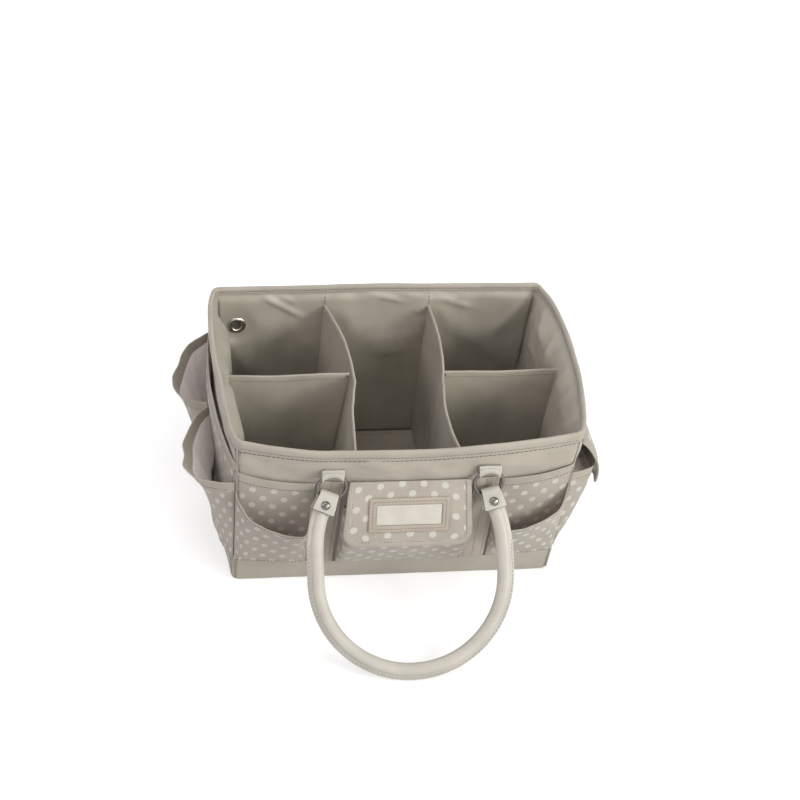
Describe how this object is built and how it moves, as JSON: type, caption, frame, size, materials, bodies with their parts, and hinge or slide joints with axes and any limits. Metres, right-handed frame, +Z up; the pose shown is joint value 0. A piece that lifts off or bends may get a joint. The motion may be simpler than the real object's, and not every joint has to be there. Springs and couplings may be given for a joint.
{
  "type": "craft organizer bag",
  "caption": "Open fabric tote on stiff boards, divided into compartments, with outside pockets, a flap pocket and carrying handles on rings.",
  "frame": {"origin": "middle of the underside, on the floor the bag stands on", "axes": "+Z up, -Y out of the front with the labelled flap, +X to the right seen from the front"},
  "size_m": [0.4532, 0.5428, 0.212],
  "materials": {
    "plain_cloth": "matt woven",
    "dotted_cloth": "matt woven, printed with pale dots",
    "lining_cloth": "satin",
    "binding_cloth": "matt woven",
    "board": "matt",
    "cream_leather": "satin",
    "label_frame": "matt",
    "label_plate": "satin",
    "fastener": "hooks and loops",
    "nickel": "polished"
  },
  "bodies": {
    "bag": {"back_board": "board", "back_left_pocket": "dotted_cloth", "back_left_strap": "plain_cloth", "back_middle_pocket": "dotted_cloth", "back_panel": "plain_cloth", "back_right_pocket": "dotted_cloth", "back_right_strap": "plain_cloth", "base_insert": "board", "base_panel": "plain_cloth", "bottom_band": "plain_cloth", "eyelet": "nickel", "front_board": "board", "front_left_flat_pocket": "dotted_cloth", "front_left_low_pocket": "dotted_cloth", "front_left_strap": "plain_cloth", "front_middle_pocket": "dotted_cloth", "front_panel": "plain_cloth", "front_right_flat_pocket": "dotted_cloth", "front_right_low_pocket": "dotted_cloth", "front_right_strap": "plain_cloth", "left_board": "board", "left_cross_divider": "lining_cloth", "left_front_bellows_pocket": "dotted_cloth", "left_long_divider": "lining_cloth", "left_panel": "plain_cloth", "left_rear_bellows_pocket": "dotted_cloth", "left_tall_pocket": "dotted_cloth", "lining": "lining_cloth", "pocket_loop_patch": "fastener", "right_board": "board", "right_cross_divider": "lining_cloth", "right_flap_pocket": "dotted_cloth", "right_long_divider": "lining_cloth", "right_panel": "plain_cloth", "right_rear_pocket": "dotted_cloth", "rim_binding": "binding_cloth"},
    "front_rings": {"front_left_ring": "nickel", "front_left_tab": "cream_leather", "front_right_ring": "nickel", "front_right_tab": "cream_leather"},
    "front_handle": {"front_handle": "cream_leather", "front_left_rivet": "nickel", "front_left_wrap": "cream_leather", "front_right_rivet": "nickel", "front_right_wrap": "cream_leather"},
    "back_rings": {"back_left_ring": "nickel", "back_left_tab": "cream_leather", "back_right_ring": "nickel", "back_right_tab": "cream_leather"},
    "back_handle": {"back_handle": "cream_leather", "back_left_rivet": "nickel", "back_left_wrap": "cream_leather", "back_right_rivet": "nickel", "back_right_wrap": "cream_leather"},
    "front_flap": {"front_flap": "dotted_cloth", "front_flap_edging": "binding_cloth", "label_frame": "label_frame", "label_plate": "label_plate", "flap_hook_patch": "fastener"},
    "right_flap": {"right_flap": "plain_cloth"}
  },
  "joints": [
    {"name": "front_tabs_fold", "type": "hinge", "parent": "bag", "child": "front_rings", "pos_m": [0, -0.14369, 0.183], "axis": [-1, 0, 0], "range_deg": [0, 120]},
    {"name": "front_handle_swing", "type": "hinge", "parent": "front_rings", "child": "front_handle", "pos_m": [0, -0.15036, 0.15115], "axis": [-1, 0, 0], "range_deg": [-10, 70]},
    {"name": "back_tabs_fold", "type": "hinge", "parent": "bag", "child": "back_rings", "pos_m": [0, 0.12907, 0.183], "axis": [1, 0, 0], "range_deg": [0, 120]},
    {"name": "back_handle_swing", "type": "hinge", "parent": "back_rings", "child": "back_handle", "pos_m": [0, 0.13574, 0.15115], "axis": [1, 0, 0], "range_deg": [-10, 70]},
    {"name": "front_flap_lift", "type": "hinge", "parent": "bag", "child": "front_flap", "pos_m": [0, -0.14659, 0.16714], "axis": [-1, 0, 0], "range_deg": [0, 130]},
    {"name": "right_flap_lift", "type": "hinge", "parent": "bag", "child": "right_flap", "pos_m": [0.1989, -0.062, 0.189], "axis": [-0.1256, -0.9921, 0], "range_deg": [0, 120]}
  ]
}
